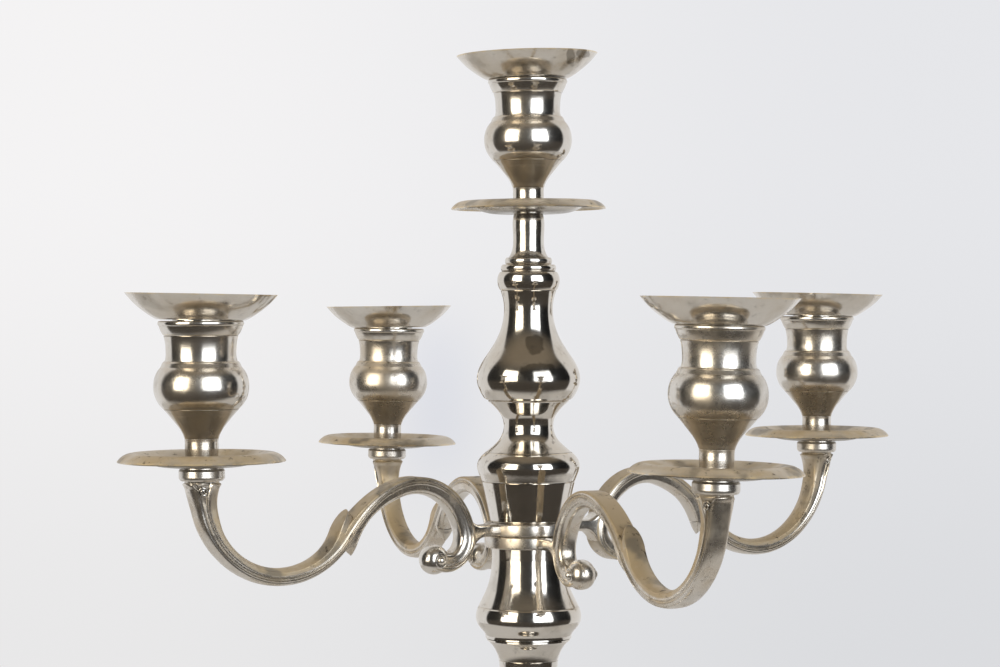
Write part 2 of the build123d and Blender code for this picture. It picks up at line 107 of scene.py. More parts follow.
class Casting:
    """Collects closed shells, in millimetres, and makes one object of them."""

    def __init__(self):
        self.points = []
        self.faces = []
        self.patina = []

    def skin(self, rings, place=Matrix.Identity(4), closed=False, patina=None):
        """A skin through rings of equally many points: a torus if closed, else with a cap on each end.

        Patina holds how tan each point round the ring is.
        """
        first = len(self.points)
        count = len(rings[0])
        for ring in rings:
            self.points += [place @ Vector(p) for p in ring]
            self.patina += patina or [0.0] * count
        turns = len(rings) if closed else len(rings) - 1
        for i in range(turns):
            low = first + i * count
            high = first + (i + 1) % len(rings) * count
            for k in range(count):
                n = (k + 1) % count
                self.faces.append((low + k, low + n, high + n, high + k))
        if not closed:
            self.cap(first, count, False)
            self.cap(first + (len(rings) - 1) * count, count, True)

    def cap(self, start, count, turned):
        """A fan over one end ring."""
        ring = range(start, start + count)
        centre = sum((self.points[i] for i in ring), Vector()) / count
        self.points.append(centre)
        self.patina.append(self.patina[start])
        for k in range(count):
            a, b = start + k, start + (k + 1) % count
            tip = len(self.points) - 1
            self.faces.append((a, b, tip) if turned else (b, a, tip))

    def lathe(self, outline, place=Matrix.Identity(4), count=48):
        """An outline of (radius, height) points turned about the local Z axis."""
        angles = [TAU * k / count for k in range(count)]
        self.skin([[(r * cos(a), r * sin(a), h) for a in angles] for r, h in outline], place)

    def tube(self, line, radius, place=Matrix.Identity(4), count=10):
        """A round wire along a line of points, thinner at both ends."""
        rings = []
        for i, point in enumerate(line):
            ahead = Vector(line[min(i + 1, len(line) - 1)]) - Vector(line[max(i - 1, 0)])
            turn = ahead.to_track_quat("Z", "Y").to_matrix()
            share = i / (len(line) - 1)
            thick = radius * blend(TUBE_END, 1.0, sin(pi * share) ** 0.5)
            angles = [TAU * k / count for k in range(count)]
            ring = [Vector((thick * cos(a), thick * sin(a), 0)) for a in angles]
            rings.append([Vector(point) + turn @ p for p in ring])
        self.skin(rings, place)

    def make(self, name):
        """The object, in metres, with smooth faces and creases kept sharp."""
        mesh = bpy.data.meshes.new(name)
        mesh.from_pydata([p * MM for p in self.points], [], self.faces)
        mesh.validate()
        mesh.shade_smooth()
        mesh.set_sharp_from_angle(angle=radians(CREASE_ANGLE))
        layer = mesh.attributes.new("patina", "FLOAT", "POINT")
        layer.data.foreach_set("value", self.patina)
        piece = bpy.data.objects.new(name, mesh)
        bpy.context.scene.collection.objects.link(piece)
        return piece


# ---- arms -----------------------------------------------------------------------------------------
class ArmLine:
    """One arm's centreline from its capital to its ball, as a straight drop and four arcs."""

    def __init__(self, reach, rise, web, tilt):
        tilt = radians(tilt)
        level_reach = reach * cos(tilt) + rise * sin(tilt)
        level_rise = rise * cos(tilt) - reach * sin(tilt)
        turn = radians(BOWL_TURN)
        wider = (level_reach - ARM_REACH - web) / (1 - cos(turn))
        drop = DROP_LENGTH + level_rise - ARM_TOP_ABOVE_RING - wider * sin(turn)
        bowl = BOWL_RADIUS + wider
        self.stretches = [
            (drop, 0.0),
            (bowl * turn, -1 / bowl),
            (FLANK_RADIUS * radians(FLANK_TURN), 1 / FLANK_RADIUS),
            (CROWN_RADIUS * radians(CROWN_TURN), 1 / CROWN_RADIUS),
            (CURL_RADIUS * radians(CURL_TURN), 1 / CURL_RADIUS),
        ]
        self.start = (reach, rise, tilt - pi / 2)
        self.bowl_end = drop + bowl * turn
        self.length = sum(length for length, bend in self.stretches)

    def at(self, distance):
        """(x, z, heading) at a distance along the line."""
        x, z, heading = self.start
        for length, bend in self.stretches:
            step = min(distance, length) if (length, bend) != self.stretches[-1] else distance
            after = heading + bend * step
            if bend:
                x += (sin(after) - sin(heading)) / bend
                z -= (cos(after) - cos(heading)) / bend
            else:
                x += step * cos(heading)
                z += step * sin(heading)
            heading = after
            distance -= step
            if distance <= 0:
                break
        return x, z, heading

    def point(self, distance, across, out):
        """A point off the line: across is towards the arm's underside, out is across its width."""
        x, z, heading = self.at(distance)
        return Vector((x - across * sin(heading), out, z + across * cos(heading)))


# The bowl's upper leaf, the tongue, stands on the flank; the flank's lower leaf, the barb, hangs under
# the bowl. Each has a free end of its own shell, and grows out of the bar over its rise.
TONGUE_PAST = 10.8  # how far the tongue's tip lies beyond the end of the bowl
TONGUE_LENGTH = 10.5
TONGUE_LIFT = 3.1
TONGUE_RISE = 36
TONGUE_POWER = 1.9
BARB_PAST = -3.4
BARB_LENGTH = 6.5
BARB_DROP = 5.6
BARB_RISE = 25
BARB_POWER = 1.7
LEAD = 0.8  # how far each free end runs on inside the bar
LEAD_SINK = 1.3  # how fast it sinks there
COVER = 0.01  # how far it stays under the bar's skin
FLANK_STEP = 1.1  # how much lower the flank starts under the tongue

# A pair of beads with a groove between them runs along each side. Across is measured from the
# centreline towards the underside.
BEAD_HEIGHT = 0.3
BEAD_WIDTH = 0.26
BEAD_REACH = 0.55  # half the strip that one bead is drawn on
GROOVE_DEPTH = 0.45
CAPITAL_GROOVE_DEPTH = 1.25
BEADS_ACROSS_NEAR_CAPITAL = 1.7
BEADS_ACROSS_IN_BOWL = 1.1
BEADS_ACROSS_ON_FLANK = -1.7
BEADS_HALF_APART_NEAR_CAPITAL = 1.1
BEADS_HALF_APART = 0.85
BEAD_MARGIN = 0.1  # from the lower bead's strip to the underside

EDGE = 0.7  # radius of the upper edges
CAPITAL_EDGE = 1.6
END_SWELL = 1.9  # how much the underside swells towards the ball
END_SWELL_LENGTH = 13
END_WIDENING = 1.12
TAIL_LENGTH = 14  # the beads fade out and the bar widens over this last stretch
ROOF_FALL = 1.3  # how far the bowl's upper face falls away from its middle to its edges
ROOF_POWER = 2.2
V_LENGTH = 14.5  # the capital's leaves part over this length
RIM_SWELL = 0.45  # how far the capital's rolled rim stands out
TIP_WIDTH = 0.12  # half width of the leaves' very tips
SCROLL_TURNS = 1.6
SCROLL_SIZE = 2.2
SCROLL_DOWN = 5.0  # how far below the capital's top the scroll's middle lies
SCROLL_WIRE_RADIUS = 0.5

# How many points of a half section lie on each part of it, from its upper to its lower middle.
TOP_COUNT, EDGE_COUNT, SIDE_COUNT, BEAD_COUNT, GROOVE_COUNT, BELLY_COUNT = 8, 6, 4, 9, 5, 11
BEADS_START = TOP_COUNT + EDGE_COUNT + SIDE_COUNT
GROOVE_MIDDLE = BEADS_START + BEAD_COUNT + GROOVE_COUNT // 2
BELLY_START = BEADS_START + 2 * BEAD_COUNT + GROOVE_COUNT


def half_thickness(line, s):
    """The bar's plain half thickness, without its leaves."""
    return blend(FOOT_HALF_THICKNESS, HALF_THICKNESS, smooth(CAPITAL_HEIGHT, 45, s))


def half_width(line, s):
    """Half the bar's width, a little more at the ball."""
    return HALF_WIDTH * blend(END_WIDENING, 1.0, smooth(line.length, line.length - TAIL_LENGTH, s))


def tongue_height(line, s):
    """The bowl's upper face with its leaf, above the centreline."""
    tip = line.bowl_end + TONGUE_PAST
    return half_thickness(line, s) + TONGUE_LIFT * max(0.0, 1 - (tip - s) / TONGUE_RISE) ** TONGUE_POWER


def barb_depth(line, s):
    """The flank's lower face with its leaf, below the centreline."""
    tip = line.bowl_end + BARB_PAST
    return half_thickness(line, s) + BARB_DROP * max(0.0, 1 - (s - tip) / BARB_RISE) ** BARB_POWER


def in_bowl(line, s):
    """1 in the bowl, 0 on the flank."""
    return smooth(line.bowl_end + 8, line.bowl_end - 12, s)


def beads_across(line, s):
    """Middle of the pair of beads, which crosses the side between the bowl and the flank."""
    bowl = blend(BEADS_ACROSS_NEAR_CAPITAL, BEADS_ACROSS_IN_BOWL, smooth(12, 50, s))
    return blend(bowl, BEADS_ACROSS_ON_FLANK, smooth(line.bowl_end - 2, line.bowl_end + 40, s))


def bead(offset):
    """Height of a bead's rounded ridge at an offset from its middle."""
    return BEAD_HEIGHT * 2 ** (-((offset / BEAD_WIDTH) ** 2))


def belly(line, s, width, start, end, count=BELLY_COUNT):
    """The underside from the side face at start to the lowest middle at end, rounder in the bowl."""
    square = blend(3.1, 2.3, in_bowl(line, s))
    points = []
    for k in range(1, count + 1):
        angle = pi / 2 * k / count
        out = width * max(0.0, cos(angle)) ** (2 / square)
        points.append((blend(start, end, sin(angle) ** (2 / square)), out if k < count else 0.0))
    return points


def upper_face(upper, width, edge, roof):
    """The top from its middle to the side: falling away by the roof, then a round edge."""
    flat = width - edge
    points = []
    for k in range(TOP_COUNT):
        out = flat * k / TOP_COUNT
        points.append((-upper + roof * (out / flat) ** ROOF_POWER, out, 0.0))
    for k in range(EDGE_COUNT):
        angle = pi / 2 * k / (EDGE_COUNT - 1)
        points.append((-upper + roof + edge * (1 - cos(angle)), flat + edge * sin(angle), 0.0))
    return points


def side_face(line, s, width, top):
    """The side from its upper edge at top, over the first bead, the groove and the second bead."""
    tail = smooth(line.length - 1, line.length - TAIL_LENGTH, s)
    middle = beads_across(line, s)
    apart = blend(BEADS_HALF_APART_NEAR_CAPITAL, BEADS_HALF_APART, smooth(V_LENGTH, 60, s))
    deep = tail * blend(GROOVE_DEPTH, CAPITAL_GROOVE_DEPTH, smooth(V_LENGTH, V_LENGTH - 6, s))
    offsets = [blend(-BEAD_REACH, BEAD_REACH, k / (BEAD_COUNT - 1)) for k in range(BEAD_COUNT)]
    first = max(top + 0.15, middle - apart - BEAD_REACH)
    points = [(blend(top, first, k / (SIDE_COUNT + 1)), width, 0.0) for k in range(1, SIDE_COUNT + 1)]
    for k, offset in enumerate(offsets):
        relief = tail * bead(offset) - deep * smooth(0.0, BEAD_REACH, offset)
        points.append((max(first + 0.03 * k, middle - apart + offset), width, relief))
    inner = max(0.05, apart - BEAD_REACH)
    for k in range(1, GROOVE_COUNT + 1):
        points.append((middle + blend(-inner, inner, k / (GROOVE_COUNT + 1)), width, -deep))
    for offset in offsets:
        relief = tail * bead(offset) - deep * smooth(0.0, -BEAD_REACH, offset)
        points.append((middle + apart + offset, width, relief))
    return points


def arm_section(line, s):
    """Half of the bar's section, as (across, out, relief) from its upper to its lower middle."""
    upper = lower = half_thickness(line, s)
    swell = END_SWELL * smooth(line.length - END_SWELL_LENGTH, line.length, s)
    tongue_tip = line.bowl_end + TONGUE_PAST
    upper -= FLANK_STEP * smooth(tongue_tip + 30, tongue_tip, s)
    if s <= tongue_tip - TONGUE_LENGTH:
        upper = tongue_height(line, s)
    if s >= line.bowl_end + BARB_PAST + BARB_LENGTH:
        lower = barb_depth(line, s)
    upper += 0.4 * swell
    lower += swell
    width = half_width(line, s)
    edge = blend(EDGE, CAPITAL_EDGE, smooth(26, 8, s))
    roof = ROOF_FALL * in_bowl(line, s) * smooth(10, 30, s)
    points = upper_face(upper, width, edge, roof)
    points += side_face(line, s, width, -upper + roof + edge)
    start = points[-1][0] + BEAD_MARGIN
    underside = belly(line, s, width, start, max(lower, start + 1.2))
    return points + [(across, out, 0.0) for across, out in underside]


def capital_angles(s):
    """Where each of the section's points goes round the capital, from its upper to its lower middle."""
    share = max(0.0, 1 - s / V_LENGTH)
    opened = radians(blend(8, 37, share ** 1.2))
    middle = radians(blend(76, 62, share))
    reach = radians(5.5)
    strip = [blend(reach, -reach, k / (BEAD_COUNT - 1)) for k in range(BEAD_COUNT)]
    angles = [blend(pi, middle + opened + reach, k / BEADS_START) for k in range(BEADS_START)]
    angles += [middle + opened + turn for turn in strip]
    for k in range(1, GROOVE_COUNT + 1):
        angles.append(middle + blend(opened - reach, reach - opened, k / (GROOVE_COUNT + 1)))
    angles += [middle - opened + turn for turn in strip]
    return angles + [blend(middle - opened - reach, 0, k / BELLY_COUNT) for k in range(1, BELLY_COUNT + 1)]


def capital_section(line, s, half):
    """Places the section's relief, and turns it into the round, leafy capital near the collar."""
    if s >= V_LENGTH:
        return [(s, across, out + relief) for across, out, relief in half]
    flare = (1 - s / V_LENGTH) ** 1.5
    placed = []
    for (across, out, relief), angle in zip(half, capital_angles(s)):
        rim = 1.0 + 0.5 * sin(2 * angle) ** 2
        radius = blend(NECK_RADIUS, CAPITAL_RADIUS, smooth(rim - 0.3, rim + 0.3, s))
        radius += RIM_SWELL * smooth(0.9, 1.8, s) * smooth(4.2, 2.0, s)
        radius += relief * smooth(rim - 0.3, rim + 0.5, s)
        rounded = radius * Vector((cos(angle), sin(angle)))
        placed.append((s, *Vector((across, out + relief)).lerp(rounded, flare)))
    return placed


def arm_stations(line):
    """Distances along the arm, closer together in the capital and at the leaves' steps."""
    marks = [0.25 * k for k in range(int(4 * V_LENGTH) + 1)]
    steps = ceil((line.length - V_LENGTH) / 0.9)
    marks += [blend(V_LENGTH, line.length, k / steps) for k in range(1, steps + 1)]
    upper_step = line.bowl_end + TONGUE_PAST - TONGUE_LENGTH
    lower_step = line.bowl_end + BARB_PAST + BARB_LENGTH
    for cut in (upper_step, lower_step):
        marks = [s for s in marks if abs(s - cut) > 0.5]
    return sorted(marks + [upper_step, upper_step + 0.2, lower_step - 0.2, lower_step])


def mirrored(line, half):
    """The whole ring of a half section on the arm."""
    return [line.point(*p) for p in half + [(a, c, -o) for a, c, o in reversed(half[1:-1])]]


def both_sides(half):
    """The patina of a whole ring from that of its half."""
    return half + half[-2:0:-1]


BAR_PATINA = both_sides(
    [1.0] * (BEADS_START - 1)
    + [0.5]
    + [0.15] * BEAD_COUNT
    + [0.7] * GROOVE_COUNT
    + [0.15] * BEAD_COUNT
    + [0.1] * BELLY_COUNT
)


def add_bar(casting, line, place):
    """The swept bar, from its capital to the ball."""
    rings = []
    for s in arm_stations(line):
        rings.append(mirrored(line, capital_section(line, s, arm_section(line, s))))
    casting.skin(rings, place, patina=BAR_PATINA)


def add_tongue(casting, line, place):
    """The upper leaf's free end: a thick plate, rounded to a point, standing on the flank."""
    tip = line.bowl_end + TONGUE_PAST
    rings = []
    for k in range(25):
        t = k / 24
        lead = LEAD * max(0.0, 1 - 4 * t)
        turn = pi / 2 * max(0.0, (t - 0.25) / 0.75)
        s = tip - TONGUE_LENGTH - lead + TONGUE_LENGTH * sin(turn)
        whole = half_width(line, s)
        width = max(TIP_WIDTH, (whole - COVER) * cos(turn) ** 0.9 - lead)
        top = tongue_height(line, s) - COVER - LEAD_SINK * lead
        edge = min(0.45, width * 0.6)
        roof = ROOF_FALL * in_bowl(line, s)
        fall = roof * (width / whole) ** ROOF_POWER
        half = []
        for j in range(7):
            out = (width - edge) * j / 7
            half.append((s, -top + roof * (out / whole) ** ROOF_POWER, out))
        for j in range(5):
            angle = pi / 2 * j / 4
            half.append((s, -top + fall + edge * (1 - cos(angle)), width - edge + edge * sin(angle)))
        half += [(s, blend(-top + fall + edge, -1.2, j / 5), width) for j in range(1, 6)]
        half += [(s, -1.0, width * (1 - j / 3)) for j in range(1, 4)]
        rings.append(mirrored(line, half))
    casting.skin(rings, place, patina=both_sides([1.0] * 10 + [0.6] * 10))


def add_barb(casting, line, place):
    """The lower leaf's free end, which points back under the bowl."""
    tip = line.bowl_end + BARB_PAST
    rings = []
    for k in range(23):
        t = k / 22
        lead = LEAD * max(0.0, 5 * t - 4)
        turn = pi / 2 * max(0.0, (0.8 - t) / 0.8)
        s = tip + BARB_LENGTH * (1 - sin(turn)) + lead
        width = max(TIP_WIDTH, (half_width(line, s) - COVER) * cos(turn) ** 0.8 - lead)
        start = beads_across(line, s) + BEADS_HALF_APART + BEAD_REACH + BEAD_MARGIN
        half = [(s, start - 1.5, out) for out in (0.0, width * 0.5, width)]
        half += [(s, start - 0.7, width), (s, start, width)]
        end = barb_depth(line, s) - COVER - LEAD_SINK * lead
        half += [(s, across, out) for across, out in belly(line, s, width, start, end, 14)]
        rings.append(mirrored(line, half))
    casting.skin(rings, place)


def add_capital_scrolls(casting, line, place):
    """The small scroll between the capital's parted leaves, on each side."""
    for side in (-1, 1):
        scroll = []
        for k in range(33):
            t = k / 32
            angle = SCROLL_TURNS * TAU * t
            size = blend(SCROLL_SIZE, 0.4, t)
            s = SCROLL_DOWN - size * sin(angle)
            half = [Vector(p[1:]) for p in capital_section(line, s, arm_section(line, s))]
            along = (half[BELLY_START] - half[BEADS_START]).normalized()
            away = Vector((-along.y, along.x)) if along.x > 0 else Vector((along.y, -along.x))
            spot = half[GROOVE_MIDDLE] + along * size * cos(angle) + away * (0.3 + 0.4 * t)
            scroll.append(line.point(s, spot.x, side * spot.y))
        casting.tube(scroll, SCROLL_WIRE_RADIUS, place)


def add_ball(casting, line, place):
    """The ball in the curl's end, with a stepped ring and a button on each side."""
    x, z, heading = line.at(line.length)
    half = []
    for k in range(19):
        angle = radians(blend(0, 68, k / 18))
        half.append((BALL_RADIUS * cos(angle) ** 0.85, 0.9 * BALL_RADIUS * sin(angle) ** 0.95))
    foot = half[-1][1]
    half += [(3.5, foot + 0.1), (3.35, foot + 0.45), (2.9, foot + 0.5), (2.6, foot + 0.2)]
    for k in range(13):
        angle = radians(blend(0, 88, k / 12))
        half.append((BUTTON_RADIUS * cos(angle), foot + 0.2 + BUTTON_RADIUS * sin(angle)))
    outline = [(r, -h) for r, h in reversed(half[1:])] + half
    lying = place @ Matrix.Translation((x, 0, z)) @ Matrix.Rotation(-pi / 2, 4, "X")
    casting.lathe(outline, lying, count=56)


def rounded_box(half_width, low, high, edge, count=6):
    """A rounded rectangle as (out, height) points."""
    points = []
    corners = ((half_width, high, 0), (-half_width, high, 1), (-half_width, low, 2), (half_width, low, 3))
    for out, height, quarter in corners:
        middle = (out - edge * (1 if out > 0 else -1), height - edge * (1 if height == high else -1))
        for k in range(count + 1):
            angle = pi / 2 * (quarter + k / count)
            points.append((middle[0] + edge * cos(angle), middle[1] + edge * sin(angle)))
    return points


def add_web(casting, web, place):
    """The short web that flares from the ring into the curl."""
    start, far = WEB_START + web, WEB_END + web
    rings = []
    steps = 22
    for k in range(steps + 1):
        x = blend(RING_RADIUS - 3, far, k / steps)
        t = max(0.0, (x - start) / (far - start))
        opening = (WEB_FLARE - RING_HEIGHT / 2) * t ** 2.4
        drop = -WEB_DROP * t ** 1.5
        high = RING_HEIGHT / 2 - 0.1 + opening + drop
        low = -RING_HEIGHT / 2 + 0.1 - opening + drop
        width = WEB_HALF_WIDTH + 0.5 * t ** 2 + 1.2 * smooth(27, 20, x)
        rings.append([(x, out, height) for out, height in rounded_box(width, low, high, WEB_CORNER)])
    casting.skin(rings, place)


def add_ring(casting, middle):
    """The ring that turns on the column's hub."""
    half = RING_HEIGHT / 2
    loop = [(RING_BORE, -half + 0.3), (RING_BORE, half - 0.3), (RING_BORE + 0.3, half)]
    for side, first in ((1, pi / 2), (-1, 0)):
        for k in range(7):
            angle = first - pi / 2 * k / 6
            out = RING_RADIUS - RING_EDGE + RING_EDGE * cos(angle)
            loop.append((out, side * (half - RING_EDGE) + RING_EDGE * sin(angle)))
    loop.append((RING_BORE + 0.3, -half))
    count = 128
    rings = []
    for k in range(count):
        angle = -TAU * k / count
        rings.append([(r * cos(angle), r * sin(angle), middle + h) for r, h in loop])
    casting.skin(rings, closed=True)


def box_middle(node):
    """Middle and lowest corner of a CAD node, in millimetres."""
    low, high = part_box(node)
    return (low + high) / 2 / MM, low / MM


def make_arms(node, body, ring_middle, places):
    """One ring casting with its two opposite arms, standing for the plain CAD one."""
    casting = Casting()
    add_ring(casting, ring_middle)
    for name in places:
        middle, low = box_middle(f"collar_{name}")
        turned = Matrix.Rotation(atan2(middle.y, middle.x), 4, "Z")
        place = Matrix.Translation((0, 0, ring_middle)) @ turned
        reach = hypot(middle.x, middle.y)
        line = ArmLine(reach, low.z + 0.15 - ring_middle, WEB_TRIM[name], ARM_TILT[name])
        add_bar(casting, line, place)
        add_tongue(casting, line, place)
        add_barb(casting, line, place)
        add_capital_scrolls(casting, line, place)
        add_ball(casting, line, place)
        add_web(casting, WEB_TRIM[name], place)
    piece = casting.make(f"{node}_casting")
    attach(piece, body)
    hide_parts(node)
    return piece


# ---- materials ------------------------------------------------------------------------------------
class Tree:
    """Short ways to add and join shader nodes."""

    def __init__(self, tree):
        self.tree = tree
        tree.nodes.clear()

    def node(self, kind, **settings):
        made = self.tree.nodes.new(f"ShaderNode{kind}")
        for name, value in settings.items():
            setattr(made, name, value)
        return made

    def feed(self, socket, value):
        """Joins an output to a socket, or sets the socket's own value."""
        if isinstance(value, bpy.types.NodeSocket):
            self.tree.links.new(value, socket)
        else:
            socket.default_value = value

    def math(self, operation, a, b=0.0, clamp=False):
        made = self.node("Math", operation=operation, use_clamp=clamp)
        self.feed(made.inputs[0], a)
        self.feed(made.inputs[1], b)
        return made.outputs[0]

    def times(self, a, b):
        return self.math("MULTIPLY", a, b)

    def scaled(self, value, factor, start):
        """The value times a factor, plus a start."""
        made = self.node("Math", operation="MULTIPLY_ADD")
        self.feed(made.inputs[0], value)
        made.inputs[1].default_value = factor
        made.inputs[2].default_value = start
        return made.outputs[0]

    def vector(self, operation, a, b=(0, 0, 0), result="Vector"):
        made = self.node("VectorMath", operation=operation)
        self.feed(made.inputs[0], a)
        self.feed(made.inputs[1], b)
        return made.outputs[result]

    def split(self, vector):
        made = self.node("SeparateXYZ")
        self.feed(made.inputs[0], vector)
        return made.outputs

    def mix(self, share, a, b, mode="MIX"):
        made = self.node("Mix", data_type="RGBA", blend_type=mode)
        self.feed(made.inputs["Factor"], share)
        self.feed(made.inputs[6], a)
        self.feed(made.inputs[7], b)
        return made.outputs[2]

    def step(self, value, low, high):
        """A smooth step from 0 at low to 1 at high."""
        made = self.node("MapRange", interpolation_type="SMOOTHSTEP")
        self.feed(made.inputs["Value"], value)
        made.inputs["From Min"].default_value = low
        made.inputs["From Max"].default_value = high
        return made.outputs["Result"]

    def window(self, value, low, high, soft):
        """1 between low and high, with soft ends."""
        rise = self.step(value, low - soft, low + soft)
        fall = self.step(value, high + soft, high - soft)
        return self.times(rise, fall)

    def noise(self, vector, scale, detail=3.0, rough=0.5):
        made = self.node("TexNoise")
        self.feed(made.inputs["Vector"], vector)
        made.inputs["Scale"].default_value = scale
        made.inputs["Detail"].default_value = detail
        made.inputs["Roughness"].default_value = rough
        return made.outputs["Fac"]

    def openness(self, reach, inside=False):
        """How open the surface is within a reach in millimetres, outwards or inside the metal."""
        made = self.node("AmbientOcclusion", samples=6, inside=inside, only_local=True)
        made.inputs["Distance"].default_value = reach * MM
        return made.outputs["AO"]

    def bump(self, height, depth):
        """The normal of a relief whose height of 1 is a depth in millimetres."""
        made = self.node("Bump")
        made.inputs["Strength"].default_value = 1.0
        made.inputs["Distance"].default_value = depth * MM
        self.feed(made.inputs["Height"], height)
        return made.outputs[0]

    def surface(self, colour, rough, normal, metallic=0.0):
        made = self.node("BsdfPrincipled")
        self.feed(made.inputs["Base Color"], colour)
        self.feed(made.inputs["Roughness"], rough)
        self.feed(made.inputs["Metallic"], metallic)
        if normal:
            self.feed(made.inputs["Normal"], normal)
        return made

    def mixed(self, share, first, second):
        """Two shaders' light, mixed."""
        made = self.node("MixShader")
        self.feed(made.inputs[0], share)
        self.feed(made.inputs[1], first.outputs[0])
        self.feed(made.inputs[2], second.outputs[0])
        return made

    def finish(self, shader, kind="Material"):
        self.feed(self.node(f"Output{kind}").inputs[0], shader.outputs[0])


def new_material(name):
    """An empty material with its tree."""
    material = bpy.data.materials.new(name)
    material.use_nodes = True
    return material, Tree(material.node_tree)


NICKEL = (0.72, 0.69, 0.64, 1)
PATINA = (0.47, 0.37, 0.235, 1)
# colour of the stain blotches, and of the painted cup shadow on the pans and the painted dark reflections on
# the top dish
STAIN_AND_SHADE = (0.17, 0.15, 0.12, 1)
# dark grime of the tarnish speckles, and the colour of the painted shade in crevices
GRIME_AND_SHADE = (0.055, 0.043, 0.03, 1)
BRASS = (0.86, 0.66, 0.34, 1)

# Noise scales of the plate: the larger, the smaller the marks.
FINE_LINES = 2600
BROAD_LINES = 420
MARK_EDGES = 300
SPOTS = 210
WAVES = 95
BLOTCHES = 52
CLOUDS = 34

# Heights of the plate's relief, in millimetres.
FINE_LINE_HEIGHT = 0.012
BROAD_LINE_HEIGHT = 0.03
SPOT_HEIGHT = 0.006
WAVE_HEIGHT = 0.03
CAST_WAVE_HEIGHT = 0.015


def dark_front_ovals(tree, place, shifted, marks):
    """1 inside the ragged ovals on the front of a piece."""
    inside = 0.0
    front = tree.step(tree.split(place)[1], 0.0, -4 * MM)
    for x, z, half_wide, half_high in marks:
        sizes = (1 / (half_wide * MM), 0, 1 / (half_high * MM))
        away = tree.vector("MULTIPLY", tree.vector("SUBTRACT", place, (x * MM, 0, z * MM)), sizes)
        ragged = tree.scaled(tree.noise(shifted, MARK_EDGES), 0.9, -0.45)
        oval = tree.math("ADD", tree.vector("LENGTH", away, result="Value"), ragged)
        inside = tree.math("MAXIMUM", inside, tree.times(tree.step(oval, 1.05, 0.8), front))
    return inside


def tan_film(tree, clouds, tarnish, dust, cast):
    """How much tan film covers the plate: in clouds, and on what faces up."""
    facing = tree.split(tree.node("NewGeometry").outputs["Normal"])[2]
    if cast:
        layer = tree.node("Attribute", attribute_name="patina").outputs["Fac"]
        upward = tree.times(layer, tree.step(facing, -0.9, 0.25))
    else:
        upward = tree.step(facing, 0.15, 0.85)
    cloudy = tree.times(tree.step(clouds, 0.36, 0.68), tarnish)
    return tree.math("ADD", cloudy, tree.times(upward, dust), clamp=True)


